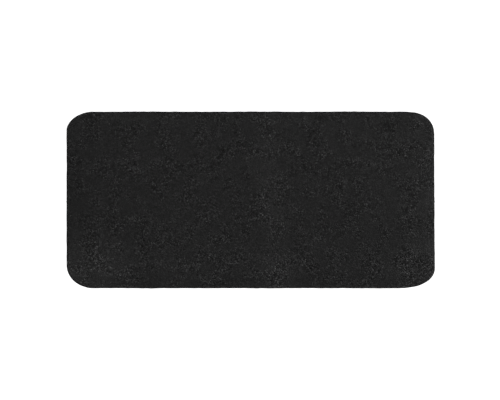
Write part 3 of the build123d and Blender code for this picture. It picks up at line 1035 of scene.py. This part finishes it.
def vinyl():
    """Matte black coated upholstery with a fine pebble grain."""
    m = Nodes("cover_vinyl_black", Specular_IOR_Level=0.2, IOR=1.5)
    place = m.jitter(620, 0.00055, m.jitter(200, 0.0015))
    n = m.nt.nodes.new("ShaderNodeTexVoronoi")
    m.put(n.inputs["Vector"], place)
    n.inputs["Scale"].default_value = 600
    d, cell = n.outputs["Distance"], n.outputs["Color"]
    red, green, blue = m.split(cell)
    dome = m.math("SUBTRACT", 1.0, m.math("MULTIPLY", d, d))
    crease = m.remap(m.cells(600, "DISTANCE_TO_EDGE", place), 0.0, 0.24, 0.0, 1.0, True)
    small = m.cells(1500, "F1", place)
    pores = m.noise(3400, 2.0, 0.6)
    h = m.math("MULTIPLY", dome, m.remap(red, 0.0, 1.0, 0.55, 1.0))
    h = m.math("ADD", h, m.math("MULTIPLY", crease, 0.45))
    h = m.math("SUBTRACT", h, m.math("MULTIPLY", small, 0.20))
    h = m.math("ADD", h, m.math("MULTIPLY", pores, 0.12))
    patchy = m.noise(75, 3.0, 0.6)
    soft = m.noise(9.5, 2.0, 0.5)
    crisp = m.remap(m.noise(52, 3.0, 0.55), 0.40, 0.60, 0.50, 1.5, True)
    h = m.math("MULTIPLY", h, crisp)
    normal = m.bump(m.noise(150, 2.0, 0.5), 0.00035, 0.4)
    normal = m.bump(h, GRAIN_DEPTH, 1.0, normal)
    # paler and darker zones on the open face, partly painted light and painted highlight and partly the cover's own
    # uneven tone
    x, _, z = m.split(m.obj)
    sway = m.math("ADD", x, m.remap(m.noise(14, 2.0, 0.5), 0.3, 0.7, -0.004, 0.004))
    middle = m.math("MULTIPLY_ADD", z, -0.07, 0.0225)
    # painted highlight: a paler vertical streak down the face
    painted_highlight_streak = m.remap(m.math("ABSOLUTE", m.math("SUBTRACT", sway, middle)), 0.006, 0.019, 0.34, 0.0, True)
    # painted light on the right edge, painted shade on the left edge
    right = m.remap(sway, 0.150, 0.168, 0.0, 0.20, True)
    left = m.remap(sway, -0.172, -0.150, -0.10, 0.0, True)
    # painted light: paler patches along the bottom, strongest at the bottom left corner
    low = m.node("ShaderNodeVectorMath", 1, {"operation": "DISTANCE"}, i0=m.scaled(m.obj, (0.74, 0, 1)), i1=(-0.1354, 0.0, -0.068))
    low = m.remap(low, 0.006, 0.066, 0.95, 0.0, True)
    painted_light_foot = m.node("ShaderNodeVectorMath", 1, {"operation": "DISTANCE"}, i0=m.scaled(m.obj, (0.7, 0, 1)), i1=(0.122, 0.0, -0.070))
    low = m.math("ADD", low, m.remap(painted_light_foot, 0.006, 0.050, 0.34, 0.0, True))
    low = m.math("ADD", low, m.remap(z, -0.070, -0.015, 0.18, 0.0, True))
    for at, far, most in (((0.024, 0.0, -0.062), 0.032, 0.30), ((-0.052, 0.0, -0.060), 0.026, 0.32)):
        painted_light_spot = m.node("ShaderNodeVectorMath", 1, {"operation": "DISTANCE"}, i0=m.scaled(m.obj, (0.7, 0, 1)), i1=at)
        low = m.math("ADD", low, m.remap(painted_light_spot, 0.006, far, most, 0.0, True))
    shade = m.math("ADD", m.remap(soft, 0.3, 0.7, 0.92, 1.06), m.remap(patchy, 0.3, 0.7, -0.09, 0.09))
    # the zones of painted light, highlight and shade go into the colour here
    shade = m.math("ADD", shade, m.math("ADD", m.math("ADD", painted_highlight_streak, left), m.math("ADD", right, low)))
    # painted shade: the colour darkens in the creases between the pebbles
    shade = m.math("MULTIPLY", shade, m.remap(crease, 0, 1, 0.66, 1.05))
    # pale specks painted into the colour are painted glints on the grain, and dark specks are painted shade in the
    # grain's pits
    painted_glint = m.math("MULTIPLY", m.remap(m.noise(1020, 2.0, 0.6), 0.50, 0.64, 0.0, 1.0, True), crisp)
    painted_pit_shade = m.math("MULTIPLY", m.remap(m.noise(860, 2.0, 0.6, m.scaled(m.obj, (1, 1, 1), (0.3, 0.1, 0.2))), 0.53, 0.40, 0.0, 1.0, True), crisp)
    painted_glint_and_pit_shade = m.math("SUBTRACT", m.math("MULTIPLY", painted_glint, PAINTED_GLINT_GAIN), m.math("MULTIPLY", painted_pit_shade, 0.62))
    shade = m.math("MULTIPLY", shade, m.math("ADD", painted_glint_and_pit_shade, 0.96))
    tone = m.math("MULTIPLY", m.math("SUBTRACT", green, 0.5), m.math("MULTIPLY", crisp, 2 * GRAIN_TONE))
    shade = m.math("MULTIPLY", shade, m.math("ADD", tone, 1.0))
    tint = m.mix(m.noise(30, 2.0, 0.5), (VINYL * 0.95, VINYL * 0.95, VINYL * 0.965), (VINYL * 1.06, VINYL * 1.055, VINYL * 1.05))
    v = m.nt.nodes.new("ShaderNodeVectorMath")
    v.operation = "SCALE"
    m.put(v.inputs[0], tint)
    m.put(v.inputs["Scale"], shade)
    # the seams' edges are a little more polished by handling than the open face
    worn = m.remap(m.attribute("edge"), 0.0, 5.0, 1.0, 0.0, True)
    worn = m.math("MULTIPLY", worn, m.remap(m.noise(55, 3.0, 0.6), 0.42, 0.62, 0.0, 1.0, True))
    rough = m.math("ADD", m.remap(patchy, 0.3, 0.7, 0.50, 0.60), m.math("MULTIPLY", worn, -0.09))
    rough = m.math("ADD", rough, m.remap(crease, 0, 1, 0.10, 0.0))
    rough = m.math("ADD", rough, m.remap(blue, 0, 1, -0.06, 0.06))
    # the specks of painted glint and the paler pebbles are the glossier ones, the specks of painted pit shade the
    # rougher ones
    rough = m.math("ADD", rough, m.math("MULTIPLY", m.math("ADD", painted_glint_and_pit_shade, tone), -0.10))
    rough = m.math("MINIMUM", m.math("MAXIMUM", rough, 0.36), 0.84)
    return m.done(v.outputs[0], rough, normal)


def thread():
    """Bonded black polyester thread, three-ply, with its twist."""
    m = Nodes("seam_thread_black", Specular_IOR_Level=0.4, Sheen_Weight=0.25, Sheen_Roughness=0.5)
    x, a, _ = m.split(m.attribute("lay", "Vector"))
    turnv = m.math("ADD", m.math("MULTIPLY", x, 2 * math.pi / 1.5), a)
    ply = m.math("SINE", m.math("MULTIPLY", turnv, 3.0))
    fibre = m.noise(6000, 2.0, 0.6)
    h = m.math("ADD", m.math("MULTIPLY", m.math("ABSOLUTE", ply), 0.7), m.math("MULTIPLY", fibre, 0.3))
    # painted shade: the colour is darker in the grooves between the plies than on their crests
    col = m.mix(m.math("ABSOLUTE", ply), (0.010, 0.010, 0.011), (0.030, 0.030, 0.032))
    return m.done(col, m.remap(fibre, 0.3, 0.7, 0.48, 0.66), m.bump(h, 0.00012, 0.8))


def plywood():
    """Birch plywood: the face veneer's figure on the flats, the plies on the edges."""
    m = Nodes("plywood_birch", Specular_IOR_Level=0.35)
    long = m.scaled(m.obj, (1.0, 9.0, 9.0))
    warp = m.jitter(14, 0.02, long)
    figure = m.noise(9.0, 4.0, 0.55, warp, 0.6)
    ring = m.math("SINE", m.math("MULTIPLY", figure, 62.0))
    fibre = m.noise(1.0, 4.0, 0.65, m.scaled(m.obj, (45, 1500, 1500)))
    flecks = m.noise(1.0, 2.0, 0.5, m.scaled(m.obj, (150, 2300, 2300)))
    light, dark = (0.66, 0.49, 0.31), (0.50, 0.34, 0.19)
    col = m.mix(m.remap(ring, -1, 1, 0.0, 0.62, True), light, dark)
    col = m.mix(m.remap(fibre, 0.35, 0.7, 0.0, 0.5), col, (0.43, 0.29, 0.17))
    col = m.mix(m.remap(flecks, 0.64, 0.72, 0.0, 0.55, True), col, (0.23, 0.14, 0.08))
    col = m.mix(m.remap(m.noise(16, 3.0, 0.6), 0.45, 0.75, 0.0, 0.28), col, (0.74, 0.58, 0.40))
    # plies on the edges: a layer every 1.4 mm through the thickness
    geo = m.nt.nodes.new("ShaderNodeNewGeometry")
    ny = m.math("ABSOLUTE", m.split(geo.outputs["Normal"])[1])
    y = m.split(m.obj)[1]
    ply = m.math("SINE", m.math("MULTIPLY", y, 2 * math.pi / 0.0028))
    end = m.mix(m.remap(ply, -0.15, 0.15, 0.0, 1.0, True), (0.30, 0.20, 0.12), (0.60, 0.45, 0.29))
    end = m.mix(m.remap(m.noise(2200, 2.0, 0.6), 0.4, 0.7, 0, 0.4), end, (0.20, 0.13, 0.08))
    col = m.mix(m.remap(ny, 0.5, 0.7, 1.0, 0.0, True), col, end)
    h = m.math("ADD", m.math("MULTIPLY", fibre, 0.7), m.math("MULTIPLY", flecks, -0.4))
    return m.done(col, m.remap(fibre, 0.3, 0.7, 0.50, 0.66), m.bump(h, 0.00016, 0.6))


def aluminium():
    """Natural anodised extrusion, with die lines along X and a few scuffs."""
    m = Nodes("rail_aluminium_anodised", Metallic=1.0)
    die = m.noise(1.0, 3.0, 0.6, m.scaled(m.obj, (2.5, 1900, 1900)))
    fine = m.noise(1.0, 2.0, 0.5, m.scaled(m.obj, (14, 5200, 5200)))
    cloud = m.noise(24, 3.0, 0.55)
    scuff = m.noise(1.0, 3.0, 0.7, m.scaled(m.jitter(90, 0.006), (160, 160, 620)))
    mark = m.remap(scuff, 0.66, 0.72, 0.0, 1.0, True)
    col = m.mix(m.remap(die, 0.3, 0.7, 0, 1), (0.66, 0.67, 0.68), (0.77, 0.775, 0.785))
    col = m.mix(m.remap(cloud, 0.35, 0.7, 0, 0.22), col, (0.60, 0.605, 0.60))
    col = m.mix(m.math("MULTIPLY", mark, 0.35), col, (0.86, 0.86, 0.86))
    rough = m.math("ADD", m.remap(die, 0.3, 0.7, 0.30, 0.42), m.math("MULTIPLY", mark, -0.08))
    rough = m.math("ADD", rough, m.remap(cloud, 0.3, 0.7, -0.03, 0.05))
    h = m.math("ADD", die, m.math("MULTIPLY", fine, 0.4))
    return m.done(col, rough, m.bump(h, 0.00005, 0.55))


def zinc():
    """Bright zinc plate with a faint blue and yellow bloom, brushed by handling."""
    m = Nodes("zinc_plated_steel", Metallic=1.0)
    bloom = m.noise(210, 3.0, 0.6)
    pit = m.noise(2600, 3.0, 0.65)
    scratch = m.noise(1.0, 2.0, 0.6, m.scaled(m.jitter(300, 0.002), (350, 2600, 2600)))
    col = m.mix(m.remap(bloom, 0.35, 0.65, 0, 1), (0.55, 0.57, 0.60), (0.66, 0.63, 0.54))
    col = m.mix(m.remap(pit, 0.62, 0.72, 0, 0.6, True), col, (0.33, 0.33, 0.33))
    rough = m.math("ADD", m.remap(bloom, 0.3, 0.7, 0.26, 0.38), m.remap(scratch, 0.4, 0.7, 0.0, 0.10))
    return m.done(col, rough, m.bump(m.math("ADD", pit, scratch), 0.00004, 0.5))


def rubber():
    """Moulded black rubber with a dusty bloom."""
    m = Nodes("buffer_rubber_black", Specular_IOR_Level=0.35)
    grain = m.noise(1500, 3.0, 0.65)
    bloom = m.noise(120, 4.0, 0.6)
    rub = m.noise(1.0, 3.0, 0.6, m.scaled(m.jitter(200, 0.003), (500, 500, 1400)))
    col = m.mix(m.remap(bloom, 0.42, 0.72, 0.0, 0.7), (0.016, 0.016, 0.017), (0.048, 0.047, 0.046))
    col = m.mix(m.remap(rub, 0.66, 0.74, 0.0, 0.5, True), col, (0.07, 0.07, 0.07))
    return m.done(col, m.remap(bloom, 0.3, 0.7, 0.62, 0.82), m.bump(grain, 0.00010, 0.5))


def eyelet():
    """Black painted brass, worn through in specks."""
    m = Nodes("black_eyelet_paint", Specular_IOR_Level=0.5)
    chips = m.noise(900, 4.0, 0.7)
    worn = m.remap(chips, 0.64, 0.68, 0.0, 1.0, True)
    grain = m.noise(3200, 2.0, 0.5)
    col = m.mix(worn, m.mix(grain, (0.013, 0.013, 0.014), (0.022, 0.022, 0.023)), (0.42, 0.32, 0.16))
    m.put(m.bsdf.inputs["Metallic"], worn)
    return m.done(col, m.remap(grain, 0.3, 0.7, 0.28, 0.42), m.bump(m.math("SUBTRACT", grain, worn), 0.00005, 0.5))


def foam_material(name, colours, scale, chips=None):
    """Cut polyurethane foam with open cells, or chips of it bonded together."""
    m = Nodes(name, Specular_IOR_Level=0.15, Sheen_Weight=0.15, Sheen_Roughness=0.6)
    cell = m.cells(scale, "F1")
    big = m.cells(scale * 0.33, "F1")
    # painted shade: each open cell is darker in its hollow middle than on its rim
    col = m.mix(m.remap(cell, 0.1, 0.7, 0, 1), colours[1], colours[0])
    if chips:
        place = m.jitter(110, 0.006)
        which = m.cells(115, "F1", place, out="Color")
        r, g, b = m.split(which)
        col = m.mix(m.remap(r, 0.45, 0.55, 0, 0.85, True), col, chips[0])
        col = m.mix(m.remap(g, 0.62, 0.70, 0, 0.85, True), col, chips[1])
        col = m.mix(m.remap(b, 0.74, 0.80, 0, 0.85, True), col, chips[2])
        seam = m.cells(115, "DISTANCE_TO_EDGE", place)
        col = m.mix(m.remap(seam, 0.0, 0.06, 0.55, 0.0, True), col, (0.05, 0.05, 0.055))
    h = m.math("ADD", cell, m.math("MULTIPLY", big, 0.5))
    return m.done(col, m.remap(big, 0.1, 0.7, 0.82, 0.95), m.bump(h, 0.0005, 0.8))


VINYL = 0.0086          # the cover's colour, linear
GRAIN_DEPTH = 0.00042
GRAIN_TONE = 0.60
# strength of the painted glints in the cover's colour
PAINTED_GLINT_GAIN = 2.4
MATERIALS = {
    "cover_vinyl": vinyl(),
    "seam_thread": thread(),
    "plywood": plywood(),
    "rail_aluminium": aluminium(),
    "zinc_steel": zinc(),
    "buffer_rubber": rubber(),
    "black_eyelet": eyelet(),
    # in each foam's pair of colours, the first is the cells' rims and the second their hollows with painted shade
    "firm_foam": foam_material("firm_foam_cut", ((0.040, 0.040, 0.044), (0.022, 0.022, 0.025)), 2600),
    "rebond_foam": foam_material("rebond_foam_chips", ((0.36, 0.39, 0.44), (0.22, 0.25, 0.30)), 1300,
                                 ((0.52, 0.47, 0.36), (0.20, 0.24, 0.33), (0.50, 0.26, 0.25))),
    "soft_foam": foam_material("soft_foam_cut", ((0.66, 0.64, 0.58), (0.46, 0.44, 0.39)), 1700),
}

slots = {s["node"]: s["material_slot"] for s in frame["record"]["subparts"]}
for node, ob in frame["nodes"].items():
    material = MATERIALS.get(slots.get(node))
    if material is not None:
        if not ob.material_slots:
            ob.data.materials.append(material)
        for slot in ob.material_slots:
            slot.link = "OBJECT"
            slot.material = material

# ==============================================================================
# What rides where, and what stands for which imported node
# ==============================================================================
made = (
    (upholstery_face, "cover_vinyl", ["cover_face_panel"]),
    (upholstery_band_upper, "cover_vinyl", ["side_band_upper"]),
    (upholstery_band_lower, "cover_vinyl", ["side_band_lower"]),
    (topstitch, "seam_thread", ["perimeter_seam_thread"]),
    (topstitch_left, "seam_thread", ["join_seam_thread_left"]),
    (topstitch_right, "seam_thread", ["join_seam_thread_right"]),
    (soft_layer, "soft_foam", ["foam_face_soft"]),
    (core_layer, "rebond_foam", ["foam_core_rebond"]),
    (base_layer, "firm_foam", ["foam_base_firm"]),
)
for ob, slot, nodes in made:
    ob.data.materials.append(MATERIALS[slot])
    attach(ob, "pad")
    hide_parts(*nodes)

# ==============================================================================
# Stage, lights and camera
# ==============================================================================
scene = bpy.context.scene
scene.view_settings.view_transform = "Standard"
scene.view_settings.look = "None"
scene.view_settings.exposure = 0.0
scene.view_settings.gamma = 1.0


def plain(name, color, emission=0.0, rough=0.9):
    m = bpy.data.materials.new(name)
    m.use_nodes = True
    b = next(n for n in m.node_tree.nodes if n.type == "BSDF_PRINCIPLED")
    b.inputs["Base Color"].default_value = (*color, 1)
    b.inputs["Roughness"].default_value = rough
    b.inputs["Specular IOR Level"].default_value = 0.1
    b.inputs["Emission Color"].default_value = (1, 1, 1, 1)
    b.inputs["Emission Strength"].default_value = emission
    return m


def disc(name, radius, z, rings=24, sides=72):
    """A flat round floor."""
    a = np.linspace(0, 2 * math.pi, sides, endpoint=False)
    r = np.linspace(0.02, 1, rings) * radius
    v = np.stack([(r[:, None] * np.cos(a)).ravel(), (r[:, None] * np.sin(a)).ravel(), np.full(rings * sides, z)], 1)
    return make(name, v / MM, grid_quads(rings, sides, 0, wrap=True))


floor = disc("stage_floor", 8.0, -1.6)
floor.data.materials.append(plain("stage_floor_pale", (0.86, 0.86, 0.86), 0.95))
floor.visible_diffuse = False
floor.visible_glossy = False


def dome(name, radius, sides=96, rows=48):
    """A round shell that the camera sees as a white ground. It lights nothing and shows in no reflection."""
    a = np.linspace(0, 2 * math.pi, sides, endpoint=False)
    e = np.linspace(-math.pi / 2 + 0.01, math.pi / 2 - 0.01, rows)
    v = np.stack([np.outer(np.cos(e), np.cos(a)).ravel(), np.outer(np.cos(e), np.sin(a)).ravel(), np.repeat(np.sin(e), sides)], 1) * radius
    return make(name, v / MM, grid_quads(rows, sides, 0, wrap=True))


backdrop = dome("stage_backdrop", 16.0)
backdrop.data.materials.append(plain("stage_backdrop_white", (0.9, 0.9, 0.9), 1.2))
backdrop.visible_diffuse = False
backdrop.visible_glossy = False
backdrop.visible_transmission = False
backdrop.visible_shadow = False

world = bpy.data.worlds.new("studio")
scene.world = world
world.use_nodes = True
world.node_tree.nodes["Background"].inputs["Color"].default_value = (1, 1, 1, 1)
world.node_tree.nodes["Background"].inputs["Strength"].default_value = 0.11

centre = Vector((0, -0.04, CZ * MM))


def softbox(name, place, size, watts):
    light = bpy.data.lights.new(name, "AREA")
    light.shape = "RECTANGLE"
    light.size, light.size_y = size
    light.energy = watts
    ob = bpy.data.objects.new(name, light)
    ob.location = place
    ob.rotation_mode = "QUATERNION"
    ob.rotation_quaternion = (centre - Vector(place)).to_track_quat("-Z", "Y")
    scene.collection.objects.link(ob)
    return ob


softbox("key_right", (3.3, -1.95, 1.35), (1.5, 1.1), 122)
softbox("fill_left", (-3.1, -1.9, 0.9), (1.5, 1.2), 46)
softbox("top_front", (-0.4, -1.7, 2.3), (1.8, 1.0), 12)
softbox("low_front", (0.1, -1.9, -1.3), (1.6, 0.7), 9)
softbox("below", (0.3, 0.5, -1.45), (1.5, 1.2), 9)
softbox("back_left", (-1.6, 1.8, 1.2), (1.4, 1.1), 42)
softbox("back_right", (1.7, 1.7, 0.6), (1.2, 1.0), 30)

camera = bpy.data.cameras.new("camera")
camera.type = "PERSP"
camera.lens, camera.sensor_width = 100.0, 36.0
camera.clip_start, camera.clip_end = 0.05, 60.0
camera_ob = bpy.data.objects.new("camera", camera)
camera_ob.location = (-0.00055, Y_FACE * MM - 1.4307, CZ * MM - 0.00005)
camera_ob.rotation_euler = (math.pi / 2, 0, 0)
scene.collection.objects.link(camera_ob)
scene.camera = camera_ob
